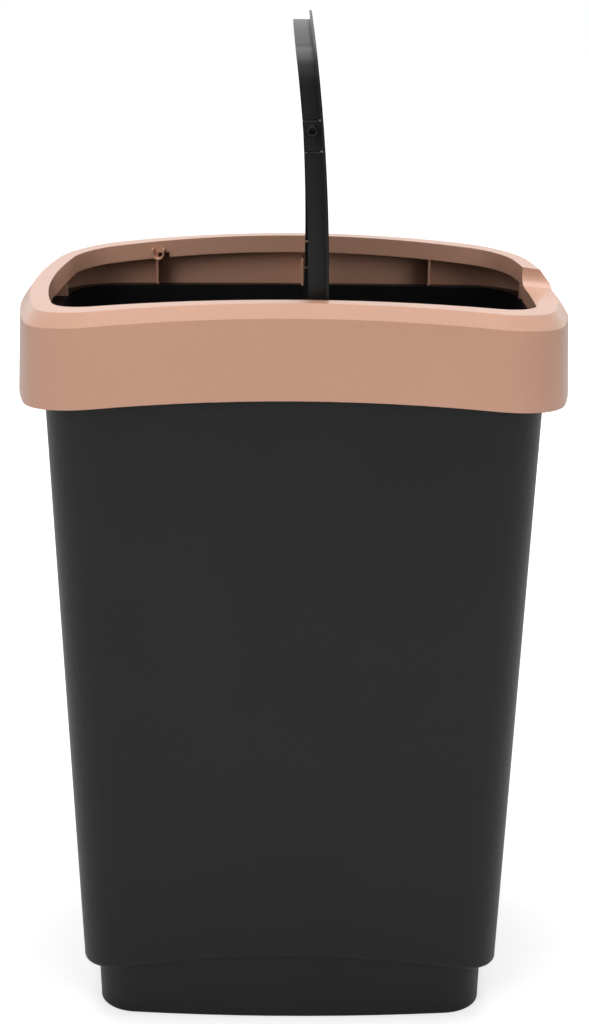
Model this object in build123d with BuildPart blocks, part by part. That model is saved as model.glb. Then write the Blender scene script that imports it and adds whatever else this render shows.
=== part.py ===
"""Swing-lid trash can: a tapered tub, a chamfered collar that sits on its rim, and an arched lid.

Millimetres. +X is to the right, +Y to the rear and +Z up. The origin is the middle of the base.
The lid is drawn closed and then swung a quarter turn about its middle pins, right end down,
which is how it stands open in the collar.
"""
from build123d import *
from collections import namedtuple
from math import atan2, degrees, radians, sqrt, tan
import os

# An outline is a rounded rectangle whose four sides are bowed outwards
Outline = namedtuple("Outline", "half_width half_depth side_radius front_radius corner_radius")

# Shared shape
ARCH_RADIUS = 1110.0  # the long edges of the collar and the lid rise to the middle on this radius
CUT_REACH = 400.0  # how far cutting solids run past what they cut

# Collar, outer wall at the foot of the chamfer
COLLAR_HALF_WIDTH = 168.6
COLLAR_HALF_DEPTH = 118.9
COLLAR_SIDE_RADIUS = 360.0
COLLAR_FRONT_RADIUS = 2400.0
COLLAR_CORNER_RADIUS = 47.0
COLLAR_RISE = 35.0  # crown above the tub's rim
COLLAR_HEIGHT = 56.0
COLLAR_DRAFT = 2.4  # degrees, wider towards the bottom
COLLAR_WALL = 2.2
CHAMFER_WIDTH = 6.0
CHAMFER_HEIGHT = 7.8

# Collar, mouth and the inner skirt that lines it
MOUTH_BORDER_SIDE = 17.6  # from the outer wall to the skirt's lower edge
MOUTH_BORDER_FRONT = 16.7
MOUTH_SIDE_RADIUS = 350.0
MOUTH_FRONT_RADIUS = 950.0
MOUTH_CORNER_RADIUS = 31.0
MOUTH_DRAFT = 3.0  # degrees, wider towards the top
SKIRT_DEPTH = 11.3
SKIRT_WALL = 2.0

# Collar, finger notch in the right rim, and the apron of the skirt under it
NOTCH_HALF_LENGTH = 49.5
NOTCH_DEPTH = 12.7
NOTCH_DISH = 1.2  # rise of the floor from its middle to its ends
NOTCH_ROUNDING = 10.0
NOTCH_DRAFT = 3.0  # degrees
NOTCH_SLOPE = 6.0  # degrees, the floor falls outwards
APRON_MARGIN = 4.0
APRON_DROP = 6.0

# Lid pins and the open-topped clips that hold them
MIDDLE_PIN_X = 12.7
SIDE_PIN_X = -90.5
PIN_BELOW_TOP = 7.6
PIN_RADIUS = 2.85
PIN_BORE_RADIUS = 2.0
PIN_LENGTH = 4.8
PIN_CLEARANCE = 0.2
CLIP_WALL = 1.1
CLIP_TIP_RISE = 2.75
CLIP_LENGTH = 5.0
CLIP_ROOT = 1.5  # how deep a clip is sunk into the skirt
WINDOW_WIDTH = 7.4  # opening in the skirt beside each clip

# Ribs inside the collar's wall
RIB_THICKNESS = 1.5
PLAIN_RIB_X = 91.0
NOTCH_TO_RIB = 7.5
RIB_FOOT_RISE = 2.4  # the ribs' feet stand on the rim only near the wall
RIB_FOOT_INSET = 11.0
STOP_RIB_REACH = 8.2  # how far the two stop ribs stand out into the mouth
STOP_RIB_HEIGHT = 16.9
STOP_GAP = 0.25

# Tub
RIM_TOP = 440.4
BODY_BORDER_SIDE = 16.1  # from the collar's outer wall to the top of the body
BODY_BORDER_FRONT = 5.4
BODY_TAPER_SIDE = 17.3  # from the top of the body to its foot
BODY_TAPER_FRONT = 10.3
BODY_SIDE_RADIUS = 1500.0
BODY_FRONT_RADIUS = 1800.0
BODY_CORNER_RADIUS = 36.0
BODY_FOOT_CORNER_RADIUS = 28.0
BODY_FOOT_MARGIN = 4.669  # how far the body is drawn on below the ends of its arched lower edge
STEP_TOP = 48.1  # crown of the arched lower edge of the body
STEP_ARCH_RADIUS = 600.0
STEP_ROUNDING = 2.5
PLINTH_BORDER_SIDE = 10.1  # from the foot of the body to the foot of the plinth
PLINTH_BORDER_FRONT = 8.4
PLINTH_SIDE_RADIUS = 2000.0
PLINTH_FRONT_RADIUS = 1100.0
PLINTH_CORNER_RADIUS = 25.0
PLINTH_HEAD_GROWTH = 1.6
PLINTH_ROUNDING = 2.0
TUB_WALL = 2.2
TUB_FLOOR = 3.0
RIM_THICKNESS = 2.6
RIM_LIP_DEPTH = 9.0
RIM_LIP_WALL = 2.0
COLLAR_TO_RIM_SIDE = 1.2
COLLAR_TO_RIM_TOP = 0.3

# Lid
LID_BELOW_COLLAR = 0.8
LID_GAP = 1.6
LID_PANEL = 1.5
LID_DEPTH = 12.0
LID_LIP = 5.4  # how far the panel stands out past the skirt
LID_SKIRT_WALL = 1.8
TONGUE_ABOVE_PIN = 5.6  # slits beside each pin leave it on a springy tongue of the skirt
TONGUE_BELOW_PIN = 11.9
SLIT_WIDTH = 1.0
SLIT_MOUTH = 2.6
OPEN_ANGLE = 90.0

# Outlines and levels that follow from the sizes above
COLLAR_TOP = RIM_TOP + COLLAR_RISE
COLLAR_OUTLINE = Outline(
    COLLAR_HALF_WIDTH,
    COLLAR_HALF_DEPTH,
    COLLAR_SIDE_RADIUS,
    COLLAR_FRONT_RADIUS,
    COLLAR_CORNER_RADIUS,
)
MOUTH_OUTLINE = Outline(
    COLLAR_HALF_WIDTH - MOUTH_BORDER_SIDE,
    COLLAR_HALF_DEPTH - MOUTH_BORDER_FRONT,
    MOUTH_SIDE_RADIUS,
    MOUTH_FRONT_RADIUS,
    MOUTH_CORNER_RADIUS,
)
BODY_OUTLINE = Outline(
    COLLAR_HALF_WIDTH - BODY_BORDER_SIDE,
    COLLAR_HALF_DEPTH - BODY_BORDER_FRONT,
    BODY_SIDE_RADIUS,
    BODY_FRONT_RADIUS,
    BODY_CORNER_RADIUS,
)
BODY_FOOT_OUTLINE = Outline(
    BODY_OUTLINE.half_width - BODY_TAPER_SIDE,
    BODY_OUTLINE.half_depth - BODY_TAPER_FRONT,
    BODY_SIDE_RADIUS,
    BODY_FRONT_RADIUS,
    BODY_FOOT_CORNER_RADIUS,
)
PLINTH_OUTLINE = Outline(
    BODY_FOOT_OUTLINE.half_width - PLINTH_BORDER_SIDE,
    BODY_FOOT_OUTLINE.half_depth - PLINTH_BORDER_FRONT,
    PLINTH_SIDE_RADIUS,
    PLINTH_FRONT_RADIUS,
    PLINTH_CORNER_RADIUS,
)


def inset(outline, distance):
    """The outline that runs inside the given one at a constant distance."""
    return Outline(*(size - distance for size in outline))


def bowed_face(outline):
    """A face from three tangent arcs, front, corner and side, repeated in the other quarters."""
    half_width, half_depth, side_radius, front_radius, corner_radius = outline
    front_centre = Vector(0, front_radius - half_depth)
    side_centre = Vector(half_width - side_radius, 0)
    centre_line = side_centre - front_centre
    front_reach = front_radius - corner_radius
    side_reach = side_radius - corner_radius
    span = centre_line.length
    along = (front_reach**2 - side_reach**2 + span**2) / (2 * span)
    aside = sqrt(front_reach**2 - along**2)
    direction = centre_line.normalized()
    corner_centre = front_centre + direction * along + Vector(-direction.Y, direction.X) * aside
    to_front = corner_centre - front_centre
    to_side = corner_centre - side_centre
    front_angle = degrees(atan2(to_front.Y, to_front.X))
    side_angle = degrees(atan2(to_side.Y, to_side.X))
    with BuildSketch() as face:
        with BuildLine():
            CenterArc(front_centre, front_radius, -90, front_angle + 90)
            CenterArc(corner_centre, corner_radius, front_angle, side_angle - front_angle)
            CenterArc(side_centre, side_radius, side_angle, -side_angle)
            mirror(about=Plane.XZ)
            mirror(about=Plane.YZ)
        make_face()
    return face.sketch


def arch_height(top, x, radius=ARCH_RADIUS):
    """Height at x of an arch that crowns at top over the middle."""
    return top - radius + sqrt(radius**2 - x**2)


def arch_face(top, limit, radius=ARCH_RADIUS):
    """The region of the XZ plane between an arch and a level line at limit."""
    end = CUT_REACH / 2
    shoulder = arch_height(top, end, radius)
    with BuildSketch() as face:
        with BuildLine():
            ThreePointArc((-end, shoulder), (0, top), (end, shoulder))
            Polyline((end, shoulder), (end, limit), (-end, limit), (-end, shoulder))
        make_face()
    return face.sketch


def trim_above(top, radius=ARCH_RADIUS):
    """A solid that fills everything above an arch."""
    with BuildPart() as block:
        with BuildSketch(Plane.XZ):
            add(arch_face(top, top + CUT_REACH, radius))
        extrude(amount=CUT_REACH, both=True)
    return block.part


def trim_below(top, radius=ARCH_RADIUS):
    """A solid that fills everything below an arch."""
    with BuildPart() as block:
        with BuildSketch(Plane.XZ):
            add(arch_face(top, top - CUT_REACH, radius))
        extrude(amount=CUT_REACH, both=True)
    return block.part


def mouth_face(gap=0.0):
    """The collar's mouth, inset by gap."""
    return bowed_face(inset(MOUTH_OUTLINE, gap))


def collar_growth(level):
    """How far the drafted collar wall has moved outwards at a level, from the foot of the chamfer."""
    return (COLLAR_TOP - CHAMFER_HEIGHT - level) * tan(radians(COLLAR_DRAFT))


def collar_block(wall_inset, top, bottom):
    """The collar's outer form as a solid: drafted wall, arched and chamfered top, flat bottom."""
    low = COLLAR_TOP - COLLAR_HEIGHT * 1.5
    high = COLLAR_TOP + CHAMFER_HEIGHT
    with BuildPart() as block:
        for level in (low, high):
            with BuildSketch(Plane.XY.offset(level)):
                add(bowed_face(inset(COLLAR_OUTLINE, wall_inset - collar_growth(level))))
        loft(ruled=True)
        add(trim_above(top), mode=Mode.SUBTRACT)
        add(trim_below(bottom), mode=Mode.SUBTRACT)
        crown = block.faces().sort_by(Axis.Z)[-1]
        chamfer(crown.edges(), length=CHAMFER_WIDTH, length2=CHAMFER_HEIGHT, reference=crown)
    return block.part


def notch_face(margin, drop):
    """Side view of the finger notch, grown by margin: steep ends and a dished floor."""
    rim = arch_height(COLLAR_TOP, MOUTH_OUTLINE.half_width)
    half_floor = NOTCH_HALF_LENGTH - NOTCH_ROUNDING
    middle = rim - NOTCH_DEPTH + NOTCH_ROUNDING - drop
    foot = middle + NOTCH_DISH
    open_top = rim + NOTCH_HALF_LENGTH
    half_top = half_floor + (open_top - foot) * tan(radians(NOTCH_DRAFT))
    with BuildSketch() as face:
        with BuildLine():
            ThreePointArc((-half_floor, foot), (0, middle), (half_floor, foot))
            Polyline((half_floor, foot), (half_top, open_top), (-half_top, open_top), (-half_floor, foot))
        make_face()
        offset(amount=NOTCH_ROUNDING + margin, mode=Mode.REPLACE)
    return face.sketch


def notch_block(margin=0.0, drop=0.0):
    """The notch as a solid that runs out through the right rim, falling outwards."""
    rim = arch_height(COLLAR_TOP, MOUTH_OUTLINE.half_width)
    with BuildPart() as block:
        with BuildSketch(Plane.YZ.offset(MOUTH_OUTLINE.half_width - NOTCH_DEPTH)):
            add(notch_face(margin, drop))
        extrude(amount=CUT_REACH / 4)
    hinge_line = Axis((MOUTH_OUTLINE.half_width, 0, rim), (0, 1, 0))
    return block.part.rotate(hinge_line, NOTCH_SLOPE)


def front_of(outline, x):
    """Half-depth of an outline's bowed front at x."""
    return outline.half_depth - outline.front_radius + sqrt(outline.front_radius**2 - x**2)


def pin_height(x):
    """Height of a pin's axis when the lid is closed."""
    return arch_height(COLLAR_TOP, x) - PIN_BELOW_TOP


def clip_profile(pin_x):
    """An open-topped U round a pin, in the XZ plane."""
    bore = PIN_RADIUS + PIN_CLEARANCE
    outer = bore + CLIP_WALL
    centre = (pin_x, pin_height(pin_x))
    with BuildSketch() as face:
        with Locations(centre):
            Circle(outer)
            Rectangle(2 * outer, outer, align=(Align.CENTER, Align.MIN))
            Circle(bore, mode=Mode.SUBTRACT)
            Rectangle(2 * bore, 2 * outer, align=(Align.CENTER, Align.MIN), mode=Mode.SUBTRACT)
        with Locations((pin_x, pin_height(pin_x) + CLIP_TIP_RISE)):
            Rectangle(2 * outer, outer, align=(Align.CENTER, Align.MIN), mode=Mode.SUBTRACT)
    return face.sketch


PIN_XS = (MIDDLE_PIN_X, SIDE_PIN_X)
SKIRT_BOTTOM = COLLAR_TOP - SKIRT_DEPTH
COLLAR_BOTTOM = COLLAR_TOP - COLLAR_HEIGHT
MOUTH_START = arch_height(SKIRT_BOTTOM, MOUTH_OUTLINE.half_width)
LID_TOP = COLLAR_TOP - LID_BELOW_COLLAR

outer_form = collar_block(0.0, COLLAR_TOP, COLLAR_BOTTOM)
hollow = collar_block(COLLAR_WALL, COLLAR_TOP - COLLAR_WALL, COLLAR_BOTTOM - COLLAR_HEIGHT / 2)

with BuildPart() as mouth:
    with BuildSketch(Plane.XY.offset(MOUTH_START)):
        add(mouth_face())
    extrude(amount=4 * CHAMFER_HEIGHT, taper=-MOUTH_DRAFT)
    with BuildSketch(Plane.XY.offset(MOUTH_START)):
        add(mouth_face())
    extrude(amount=-COLLAR_HEIGHT)

with BuildPart() as skirt:
    with BuildSketch(Plane.XY.offset(MOUTH_START)):
        add(mouth_face(-SKIRT_WALL))
    extrude(amount=4 * CHAMFER_HEIGHT, taper=-MOUTH_DRAFT)
    add(trim_below(SKIRT_BOTTOM), mode=Mode.SUBTRACT)
    add(trim_above(COLLAR_TOP - COLLAR_WALL / 2), mode=Mode.SUBTRACT)
    for pin_x in PIN_XS:
        # a window beside each clip, from the skirt's lower edge up to the pin's level
        with Locations((pin_x, 0, pin_height(pin_x))):
            Box(
                WINDOW_WIDTH,
                CUT_REACH,
                SKIRT_DEPTH,
                align=(Align.MIN, Align.CENTER, Align.MAX),
                mode=Mode.SUBTRACT,
            )

# The skirt hangs lower behind the finger notch
with BuildPart() as apron:
    with BuildSketch(Plane.XY.offset(MOUTH_START)):
        add(mouth_face(-SKIRT_WALL))
    extrude(amount=-COLLAR_HEIGHT)
    add(notch_block(APRON_MARGIN, APRON_DROP), mode=Mode.INTERSECT)

# The thin shell round the finger notch
with BuildPart() as notch_shell:
    add(outer_form)
    add(notch_block(COLLAR_WALL), mode=Mode.INTERSECT)

# Ribs that stand on the tub's rim and fill the channel between the skirt and the wall; the left
# pair is flush with the windows of the side clips
RIB_XS = (SIDE_PIN_X - RIB_THICKNESS / 2, PLAIN_RIB_X)
with BuildPart() as ribs:
    with Locations([(rib_x, 0, COLLAR_TOP) for rib_x in RIB_XS]):
        Box(RIB_THICKNESS, CUT_REACH, CUT_REACH)
    with GridLocations(0, 2 * (NOTCH_HALF_LENGTH + NOTCH_TO_RIB), 1, 2):
        Box(CUT_REACH, RIB_THICKNESS, 4 * CUT_REACH)
    with BuildSketch(Plane.XY.offset(RIM_TOP + COLLAR_TO_RIM_TOP + RIB_FOOT_RISE)):
        add(mouth_face(-RIB_FOOT_INSET))
    extrude(amount=-CUT_REACH, mode=Mode.SUBTRACT)
    with BuildSketch(Plane.XY.offset(RIM_TOP)):
        add(mouth_face(-SKIRT_WALL / 2))
    extrude(amount=CUT_REACH, mode=Mode.SUBTRACT)

STOP_FOOT = RIM_TOP + COLLAR_TO_RIM_TOP + RIB_FOOT_RISE
stop_drop = pin_height(MIDDLE_PIN_X) - STOP_FOOT
open_edge = pin_height(MIDDLE_PIN_X) - arch_height(LID_TOP - LID_DEPTH, MIDDLE_PIN_X + stop_drop)
STOP_FACE_X = MIDDLE_PIN_X - open_edge - STOP_GAP

with BuildPart() as stop_ribs:
    for side in (-1, 1):
        with Locations((STOP_FACE_X, side * (MOUTH_OUTLINE.half_depth - STOP_RIB_REACH), STOP_FOOT)):
            Box(
                RIB_THICKNESS,
                CUT_REACH,
                STOP_RIB_HEIGHT,
                align=(Align.MAX, Align.MIN if side > 0 else Align.MAX, Align.MIN),
            )

with BuildPart() as rib_space:
    add(collar_block(COLLAR_WALL / 2, COLLAR_TOP - COLLAR_WALL / 2, COLLAR_BOTTOM))
    with BuildSketch(Plane.XY.offset(RIM_TOP + COLLAR_TO_RIM_TOP)):
        Rectangle(2 * CUT_REACH, 2 * CUT_REACH)
    extrude(amount=-CUT_REACH, mode=Mode.SUBTRACT)
    add(notch_block(COLLAR_WALL / 2), mode=Mode.SUBTRACT)

with BuildPart() as inner_ribs:
    add(ribs.part)
    add(stop_ribs.part)
    add(rib_space.part, mode=Mode.INTERSECT)

with BuildPart() as collar:
    add(outer_form)
    add(hollow, mode=Mode.SUBTRACT)
    add(skirt.part)
    add(apron.part)
    add(notch_shell.part)
    add(mouth.part, mode=Mode.SUBTRACT)
    add(notch_block(), mode=Mode.SUBTRACT)
    add(inner_ribs.part)
    for pin_x in PIN_XS:
        seat = front_of(MOUTH_OUTLINE, pin_x)
        for side in (-1, 1):
            with BuildSketch(Plane.XZ.offset(-side * (seat + CLIP_ROOT))):
                add(clip_profile(pin_x))
            extrude(amount=side * (CLIP_LENGTH + CLIP_ROOT))
collar.part.label = "collar"

# Tub: a drafted body with an arched lower edge, on a plinth that stands further in
BODY_FOOT_Z = arch_height(STEP_TOP, BODY_FOOT_OUTLINE.half_width, STEP_ARCH_RADIUS) - BODY_FOOT_MARGIN
with BuildPart() as tub_body:
    for level, outline in ((BODY_FOOT_Z, BODY_FOOT_OUTLINE), (RIM_TOP, BODY_OUTLINE)):
        with BuildSketch(Plane.XY.offset(level)):
            add(bowed_face(outline))
    loft(ruled=True)
    add(trim_below(STEP_TOP, STEP_ARCH_RADIUS), mode=Mode.SUBTRACT)
    fillet(faces().sort_by(Axis.Z)[0].edges(), radius=STEP_ROUNDING)

with BuildPart() as body_space:
    for level, outline in ((BODY_FOOT_Z, BODY_FOOT_OUTLINE), (RIM_TOP, BODY_OUTLINE)):
        with BuildSketch(Plane.XY.offset(level)):
            add(bowed_face(inset(outline, TUB_WALL)))
    loft(ruled=True)
    add(trim_below(STEP_TOP + TUB_WALL, STEP_ARCH_RADIUS), mode=Mode.SUBTRACT)

PLINTH_HEAD_OUTLINE = inset(PLINTH_OUTLINE, -PLINTH_HEAD_GROWTH)
with BuildPart() as plinth:
    for level, outline in ((0, PLINTH_OUTLINE), (STEP_TOP + TUB_WALL, PLINTH_HEAD_OUTLINE)):
        with BuildSketch(Plane.XY.offset(level)):
            add(bowed_face(outline))
    loft(ruled=True)
    fillet(faces().sort_by(Axis.Z)[0].edges(), radius=PLINTH_ROUNDING)

with BuildPart() as plinth_space:
    for level, outline in ((TUB_FLOOR, PLINTH_OUTLINE), (STEP_TOP + 2 * TUB_WALL, PLINTH_HEAD_OUTLINE)):
        with BuildSketch(Plane.XY.offset(level)):
            add(bowed_face(inset(outline, TUB_WALL)))
    loft(ruled=True)

# Rim: a shelf that reaches out to the collar's wall, with a short lip hanging from its edge
RIM_EDGE_INSET = COLLAR_WALL + COLLAR_TO_RIM_SIDE - collar_growth(RIM_TOP)
with BuildPart() as rim:
    with BuildSketch(Plane.XY.offset(RIM_TOP)):
        add(bowed_face(inset(COLLAR_OUTLINE, RIM_EDGE_INSET)))
    extrude(amount=-RIM_LIP_DEPTH)
    with BuildSketch(Plane.XY.offset(RIM_TOP - RIM_THICKNESS)):
        add(bowed_face(inset(COLLAR_OUTLINE, RIM_EDGE_INSET + RIM_LIP_WALL)))
    extrude(amount=-RIM_LIP_DEPTH, mode=Mode.SUBTRACT)

with BuildPart() as tub:
    add(tub_body.part)
    add(plinth.part)
    add(rim.part)
    add(body_space.part, mode=Mode.SUBTRACT)
    add(plinth_space.part, mode=Mode.SUBTRACT)
tub.part.label = "tub"


# Lid: an arched panel with a skirt set in from its edge, drawn closed
LID_START = LID_TOP - 3 * LID_DEPTH
with BuildPart() as lid_panel:
    with BuildSketch(Plane.XY.offset(LID_START)):
        add(mouth_face(LID_GAP))
    extrude(amount=4 * LID_DEPTH)
    add(trim_above(LID_TOP), mode=Mode.SUBTRACT)
    add(trim_below(LID_TOP - LID_PANEL), mode=Mode.SUBTRACT)

with BuildPart() as lid_skirt:
    with BuildSketch(Plane.XY.offset(LID_START)):
        add(mouth_face(LID_GAP + LID_LIP))
        add(mouth_face(LID_GAP + LID_LIP + LID_SKIRT_WALL), mode=Mode.SUBTRACT)
    extrude(amount=4 * LID_DEPTH)
    add(trim_above(LID_TOP - LID_PANEL / 2), mode=Mode.SUBTRACT)
    add(trim_below(LID_TOP - LID_DEPTH), mode=Mode.SUBTRACT)
    # slits up to the panel, of which the one nearer the middle opens out at the free edge
    for pin_x in PIN_XS:
        for slit_x in (pin_x - TONGUE_ABOVE_PIN, pin_x + TONGUE_BELOW_PIN):
            with Locations((slit_x, 0, LID_TOP)):
                Box(SLIT_WIDTH, CUT_REACH, 4 * LID_DEPTH, mode=Mode.SUBTRACT)
        mouth_x = pin_x + TONGUE_BELOW_PIN
        with BuildSketch(Plane.XZ):
            with Locations((mouth_x, arch_height(LID_TOP - LID_DEPTH, mouth_x) - SLIT_WIDTH / 2)):
                Rectangle(SLIT_MOUTH, SLIT_MOUTH, rotation=45)
        extrude(amount=CUT_REACH, both=True, mode=Mode.SUBTRACT)

LID_SKIRT_OUTLINE = inset(MOUTH_OUTLINE, LID_GAP + LID_LIP)

with BuildPart() as closed_lid:
    add(lid_panel.part)
    add(lid_skirt.part)
    for pin_x in PIN_XS:
        skirt_face = front_of(LID_SKIRT_OUTLINE, pin_x)
        for side in (-1, 1):
            root = Plane.XZ.offset(-side * (skirt_face - LID_SKIRT_WALL / 2))
            with BuildSketch(root):
                with Locations((pin_x, pin_height(pin_x))):
                    Circle(PIN_RADIUS)
            extrude(amount=-side * (PIN_LENGTH + LID_SKIRT_WALL / 2))
            with BuildSketch(Plane.XZ.offset(-side * skirt_face)):
                with Locations((pin_x, pin_height(pin_x))):
                    Circle(PIN_BORE_RADIUS)
            extrude(amount=-side * PIN_LENGTH, mode=Mode.SUBTRACT)

hinge_line = Axis((MIDDLE_PIN_X, 0, pin_height(MIDDLE_PIN_X)), (0, 1, 0))
with BuildPart() as lid:
    add(closed_lid.part.rotate(hinge_line, OPEN_ANGLE))
lid.part.label = "lid"

os.makedirs("parts", exist_ok=True)
export_step(tub.part, "parts/tub.step")
export_step(collar.part, "parts/collar.step")
export_step(lid.part, "parts/lid.step")
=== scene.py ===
import math

import bpy
from mathutils import Matrix, Vector

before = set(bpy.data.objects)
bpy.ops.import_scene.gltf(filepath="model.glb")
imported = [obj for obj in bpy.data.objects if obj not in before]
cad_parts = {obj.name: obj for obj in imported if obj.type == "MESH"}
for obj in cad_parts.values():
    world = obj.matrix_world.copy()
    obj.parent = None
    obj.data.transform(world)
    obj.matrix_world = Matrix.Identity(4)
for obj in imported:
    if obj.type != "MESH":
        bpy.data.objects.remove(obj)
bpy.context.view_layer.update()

WHITE = (1.0, 1.0, 1.0, 1.0)

# Plastic: noise scales are per metre, sizes are in metres
FLOW_SCALE = 14.0
MOTTLE_SCALE = 420.0
GRIT_SCALE = 1500.0
GRIT_SHARE = 0.6  # of the grain's height, the rest is mottle
SCUFF_SCALE = 95.0
SCUFF_STRETCH = (1.0, 1.0, 3.2)
SCUFF_TURN = (0.3, 0.5, 0.0)
SCUFF_START = 0.735
SCUFF_FULL = 0.78
SCUFF_STRENGTH = 0.55
SCUFF_ROUGHNESS = 0.12
SPECK_STRENGTH = 0.16
GRAIN_DEPTH = 0.0003
EDGE_RADIUS = 0.0007
EDGE_SAMPLES = 6
COAT_ROUGHNESS = 0.22

# Floor
FLOOR_REACH = 6.0
PAPER_COLOUR = (0.62, 0.62, 0.62, 1.0)
# the floor's glow is dimmer near the object, a painted shade around it, and rises to full between these
# distances
PAINTED_SHADE_FADE_START = 0.25  # from the origin
PAINTED_SHADE_FADE_END = 1.3
PAINTED_SHADE_GLOW_NEAR = 0.58
GLOW_FAR = 0.90
FLOOR_IN_REFLECTIONS = 0.15

# World, as reflections see it: the darkest direction is low behind the camera, on the right
FILL = 0.36
RIGHT_LEAN = -0.40
UPWARD_LEAN = 1.6
DARKEST_LEAN = -0.40
BRIGHTEST_LEAN = 0.25
DARKEST = 0.16

# Camera, fitted to the photograph
YAW = math.radians(0.38)
PITCH = math.radians(17.67)
ROLL = math.radians(0.44)
CAMERA_PLACE = (-0.00743, -1.31344, 0.73229)
LENS_LENGTH = 74.94
SENSOR_HEIGHT = 36.0
NEAR_CLIP = 0.01


# Node helpers

def link_input(tree, target, value):
    """Connects a socket, or sets a plain value."""
    if isinstance(value, bpy.types.NodeSocket):
        tree.links.new(value, target)
    else:
        target.default_value = value


def noise(tree, vector, scale, detail=2.0, rough=0.5):
    node = tree.nodes.new("ShaderNodeTexNoise")
    node.inputs["Scale"].default_value = scale
    node.inputs["Detail"].default_value = detail
    node.inputs["Roughness"].default_value = rough
    tree.links.new(vector, node.inputs["Vector"])
    return node.outputs["Fac"]


def remap(tree, value, low, high, to_low=0.0, to_high=1.0):
    node = tree.nodes.new("ShaderNodeMapRange")
    node.inputs["From Min"].default_value = low
    node.inputs["From Max"].default_value = high
    node.inputs["To Min"].default_value = to_low
    node.inputs["To Max"].default_value = to_high
    tree.links.new(value, node.inputs["Value"])
    return node.outputs["Result"]


def maths(tree, operation, first, second):
    node = tree.nodes.new("ShaderNodeMath")
    node.operation = operation
    link_input(tree, node.inputs[0], first)
    link_input(tree, node.inputs[1], second)
    return node.outputs["Value"]


def mix_colour(tree, factor, first, second):
    node = tree.nodes.new("ShaderNodeMix")
    node.data_type = "RGBA"
    link_input(tree, node.inputs[0], factor)
    link_input(tree, node.inputs[6], first)
    link_input(tree, node.inputs[7], second)
    return node.outputs[2]


def lighter(colour, gain, lift):
    """A colour raised by a gain and a lift."""
    return (*(min(1.0, part * gain + lift) for part in colour), 1.0)


def moulded_plastic(name, base, tint, roughness, spread, grain, specular, coat):
    """Satin moulded plastic: flow marks, mottle, fine grain and a few short scuffs."""
    material = bpy.data.materials.new(name)
    material.use_nodes = True
    tree = material.node_tree
    shader = tree.nodes["Principled BSDF"]
    place = tree.nodes.new("ShaderNodeTexCoord").outputs["Object"]

    flow = noise(tree, place, FLOW_SCALE, 3.0)
    mottle = noise(tree, place, MOTTLE_SCALE, 4.0, 0.6)
    grit = noise(tree, place, GRIT_SCALE, 2.0, 0.6)

    # scuffs are sparse, short and lighter than the plastic
    stretch = tree.nodes.new("ShaderNodeMapping")
    stretch.inputs["Scale"].default_value = SCUFF_STRETCH
    stretch.inputs["Rotation"].default_value = SCUFF_TURN
    tree.links.new(place, stretch.inputs["Vector"])
    streaks = noise(tree, stretch.outputs["Vector"], SCUFF_SCALE, 6.0, 0.72)
    scuffs = remap(tree, streaks, SCUFF_START, SCUFF_FULL)

    tone = remap(tree, flow, 0.3, 0.7)
    colour = mix_colour(tree, tone, (*base, 1.0), (*tint, 1.0))
    specks = remap(tree, mottle, 0.35, 0.7, 0.0, SPECK_STRENGTH)
    colour = mix_colour(tree, specks, colour, lighter(base, 1.22, 0.004))
    worn = maths(tree, "MULTIPLY", scuffs, SCUFF_STRENGTH)
    colour = mix_colour(tree, worn, colour, lighter(base, 1.3, 0.05))
    tree.links.new(colour, shader.inputs["Base Color"])

    rough = remap(tree, mottle, 0.3, 0.7, roughness - spread, roughness + spread)
    rough = maths(tree, "ADD", rough, maths(tree, "MULTIPLY", scuffs, SCUFF_ROUGHNESS))
    tree.links.new(rough, shader.inputs["Roughness"])

    fine = maths(tree, "MULTIPLY", grit, GRIT_SHARE)
    coarse = maths(tree, "MULTIPLY", mottle, 1.0 - GRIT_SHARE)
    bump = tree.nodes.new("ShaderNodeBump")
    bump.inputs["Strength"].default_value = grain
    bump.inputs["Distance"].default_value = GRAIN_DEPTH
    tree.links.new(maths(tree, "ADD", fine, coarse), bump.inputs["Height"])
    # moulded edges are slightly round
    edge = tree.nodes.new("ShaderNodeBevel")
    edge.samples = EDGE_SAMPLES
    edge.inputs["Radius"].default_value = EDGE_RADIUS
    tree.links.new(edge.outputs["Normal"], bump.inputs["Normal"])
    tree.links.new(bump.outputs["Normal"], shader.inputs["Normal"])
    shader.inputs["Specular IOR Level"].default_value = specular
    shader.inputs["Coat Weight"].default_value = coat
    shader.inputs["Coat Roughness"].default_value = COAT_ROUGHNESS
    return material


def dress(node, material):
    """Gives a carried-over CAD node its material."""
    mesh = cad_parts[node].data
    mesh.materials.clear()
    mesh.materials.append(material)


rose = moulded_plastic(
    "rose_plastic",
    base=(0.600, 0.330, 0.228),
    tint=(0.575, 0.314, 0.216),
    roughness=0.33,
    spread=0.03,
    grain=0.12,
    specular=0.5,
    coat=0.4,
)
tub_black = moulded_plastic(
    "tub_black_plastic",
    base=(0.0100, 0.0100, 0.0106),
    tint=(0.0085, 0.0083, 0.0085),
    roughness=0.36,
    spread=0.04,
    grain=0.14,
    specular=0.34,
    coat=0.0,
)
lid_black = moulded_plastic(
    "lid_black_plastic",
    base=(0.0120, 0.0120, 0.0128),
    tint=(0.0100, 0.0098, 0.0100),
    roughness=0.34,
    spread=0.04,
    grain=0.14,
    specular=0.36,
    coat=0.0,
)
dress("collar", rose)
dress("tub", tub_black)
dress("lid", lid_black)


# Floor, world and lamps

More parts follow.
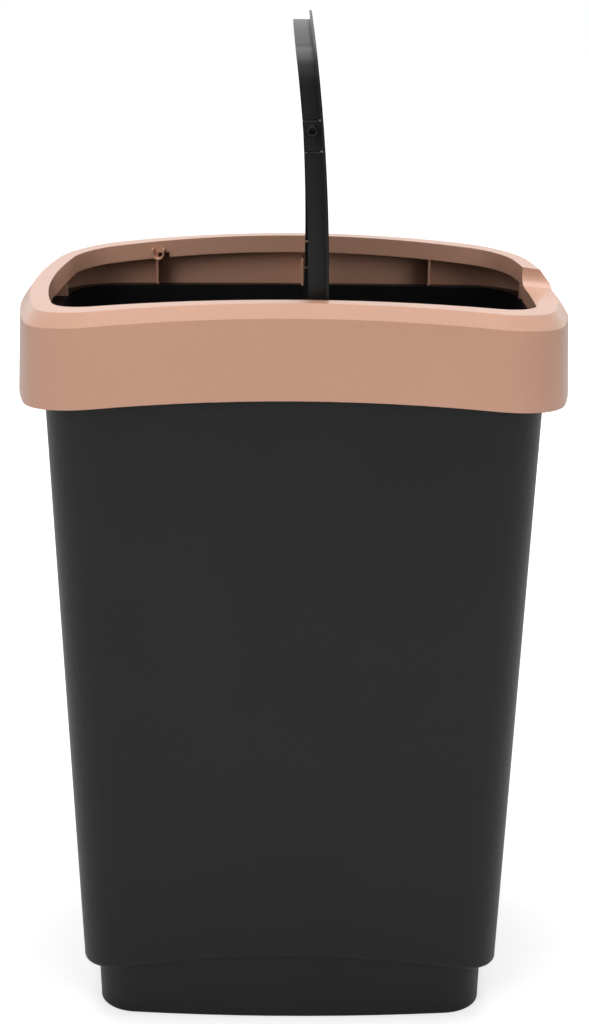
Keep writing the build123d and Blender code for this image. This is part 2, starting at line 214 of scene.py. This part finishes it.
def white_floor():
    """Paper that takes the object's shadow, and glows to the camera so that it shows as white. The glow
    is dimmer near the object, which paints a grey shade around it.
    """
    material = bpy.data.materials.new("floor")
    material.use_nodes = True
    tree = material.node_tree
    tree.nodes.clear()
    out = tree.nodes.new("ShaderNodeOutputMaterial")
    paper = tree.nodes.new("ShaderNodeBsdfDiffuse")
    paper.inputs["Color"].default_value = PAPER_COLOUR
    path = tree.nodes.new("ShaderNodeLightPath")
    seen = maths(tree, "MAXIMUM", path.outputs["Is Camera Ray"], path.outputs["Is Transmission Ray"])
    reflected = maths(tree, "MULTIPLY", path.outputs["Is Glossy Ray"], FLOOR_IN_REFLECTIONS)
    seen = maths(tree, "MAXIMUM", seen, reflected)
    lift = tree.nodes.new("ShaderNodeEmission")
    lift.inputs["Color"].default_value = WHITE
    # the glow is weaker near the object: a painted shade on the floor around it, added to the real shadow
    # the paper takes
    away = tree.nodes.new("ShaderNodeVectorMath")
    away.operation = "LENGTH"
    tree.links.new(tree.nodes.new("ShaderNodeTexCoord").outputs["Object"], away.inputs[0])
    glow_with_painted_shade = remap(tree, away.outputs["Value"], PAINTED_SHADE_FADE_START, PAINTED_SHADE_FADE_END, PAINTED_SHADE_GLOW_NEAR, GLOW_FAR)
    tree.links.new(maths(tree, "MULTIPLY", seen, glow_with_painted_shade), lift.inputs["Strength"])
    add = tree.nodes.new("ShaderNodeAddShader")
    tree.links.new(paper.outputs[0], add.inputs[0])
    tree.links.new(lift.outputs[0], add.inputs[1])
    tree.links.new(add.outputs[0], out.inputs["Surface"])
    return material


def lay_floor():
    mesh = bpy.data.meshes.new("floor")
    reach = FLOOR_REACH
    corners = [(-reach, -reach, 0), (reach, -reach, 0), (reach, reach, 0), (-reach, reach, 0)]
    mesh.from_pydata(corners, [], [(0, 1, 2, 3)])
    mesh.materials.append(white_floor())
    floor = bpy.data.objects.new("floor", mesh)
    bpy.context.scene.collection.objects.link(floor)


def light_world():
    """White to the camera, a soft fill to diffuse rays, and shaded by direction in reflections."""
    world = bpy.data.worlds.new("studio")
    bpy.context.scene.world = world
    world.use_nodes = True
    tree = world.node_tree
    tree.nodes.clear()
    heading = tree.nodes.new("ShaderNodeTexCoord").outputs["Generated"]
    split = tree.nodes.new("ShaderNodeSeparateXYZ")
    tree.links.new(heading, split.inputs[0])
    side = maths(tree, "MULTIPLY", split.outputs["X"], RIGHT_LEAN)
    above = maths(tree, "MULTIPLY", split.outputs["Z"], UPWARD_LEAN)
    lean = maths(tree, "ADD", maths(tree, "ADD", split.outputs["Y"], side), above)
    shade = remap(tree, lean, DARKEST_LEAN, BRIGHTEST_LEAN, DARKEST, 1.0)
    path = tree.nodes.new("ShaderNodeLightPath")
    glossy = maths(tree, "MULTIPLY", path.outputs["Is Glossy Ray"], maths(tree, "SUBTRACT", shade, FILL))
    seen = maths(tree, "MAXIMUM", path.outputs["Is Camera Ray"], path.outputs["Is Transmission Ray"])
    white = maths(tree, "MULTIPLY", seen, 1.0 - FILL)
    strength = maths(tree, "ADD", maths(tree, "ADD", glossy, white), FILL)
    background = tree.nodes.new("ShaderNodeBackground")
    background.inputs["Color"].default_value = WHITE
    tree.links.new(strength, background.inputs["Strength"])
    out = tree.nodes.new("ShaderNodeOutputWorld")
    tree.links.new(background.outputs[0], out.inputs["Surface"])


def softbox(name, place, target, width, height, power):
    """A rectangular lamp, its power in watts, turned towards the target."""
    lamp = bpy.data.lights.new(name, "AREA")
    lamp.shape = "RECTANGLE"
    lamp.size = width
    lamp.size_y = height
    lamp.energy = power
    holder = bpy.data.objects.new(name, lamp)
    holder.location = place
    aim = Vector(target) - Vector(place)
    holder.rotation_euler = aim.to_track_quat("-Z", "Y").to_euler()
    bpy.context.scene.collection.objects.link(holder)
    return holder


def light_studio():
    softbox("top", (0.0, 0.25, 2.3), (0.0, 0.0, 0.4), width=2.0, height=1.8, power=34.0)
    aim = (0.0, 0.0, 0.3)
    front = [
        softbox("front_left", (-1.3, -1.9, 1.5), aim, width=1.2, height=1.4, power=20.0),
        softbox("front_right", (1.5, -1.8, 1.3), aim, width=1.2, height=1.4, power=14.0),
    ]
    for lamp in front:
        lamp.visible_glossy = False


def place_camera():
    forward = Vector((math.sin(YAW) * math.cos(PITCH), math.cos(YAW) * math.cos(PITCH), -math.sin(PITCH)))
    level = Vector((math.cos(YAW), -math.sin(YAW), 0.0))
    upright = level.cross(forward)
    across = level * math.cos(ROLL) + upright * math.sin(ROLL)
    top = upright * math.cos(ROLL) - level * math.sin(ROLL)
    lens = bpy.data.cameras.new("camera")
    lens.sensor_fit = "VERTICAL"
    lens.sensor_height = SENSOR_HEIGHT
    lens.lens = LENS_LENGTH
    lens.clip_start = NEAR_CLIP
    camera = bpy.data.objects.new("camera", lens)
    pose = Matrix((across, top, -forward)).transposed().to_4x4()
    pose.translation = CAMERA_PLACE
    camera.matrix_world = pose
    bpy.context.scene.collection.objects.link(camera)
    bpy.context.scene.camera = camera


lay_floor()
light_world()
light_studio()
place_camera()
bpy.context.scene.view_settings.view_transform = "Standard"
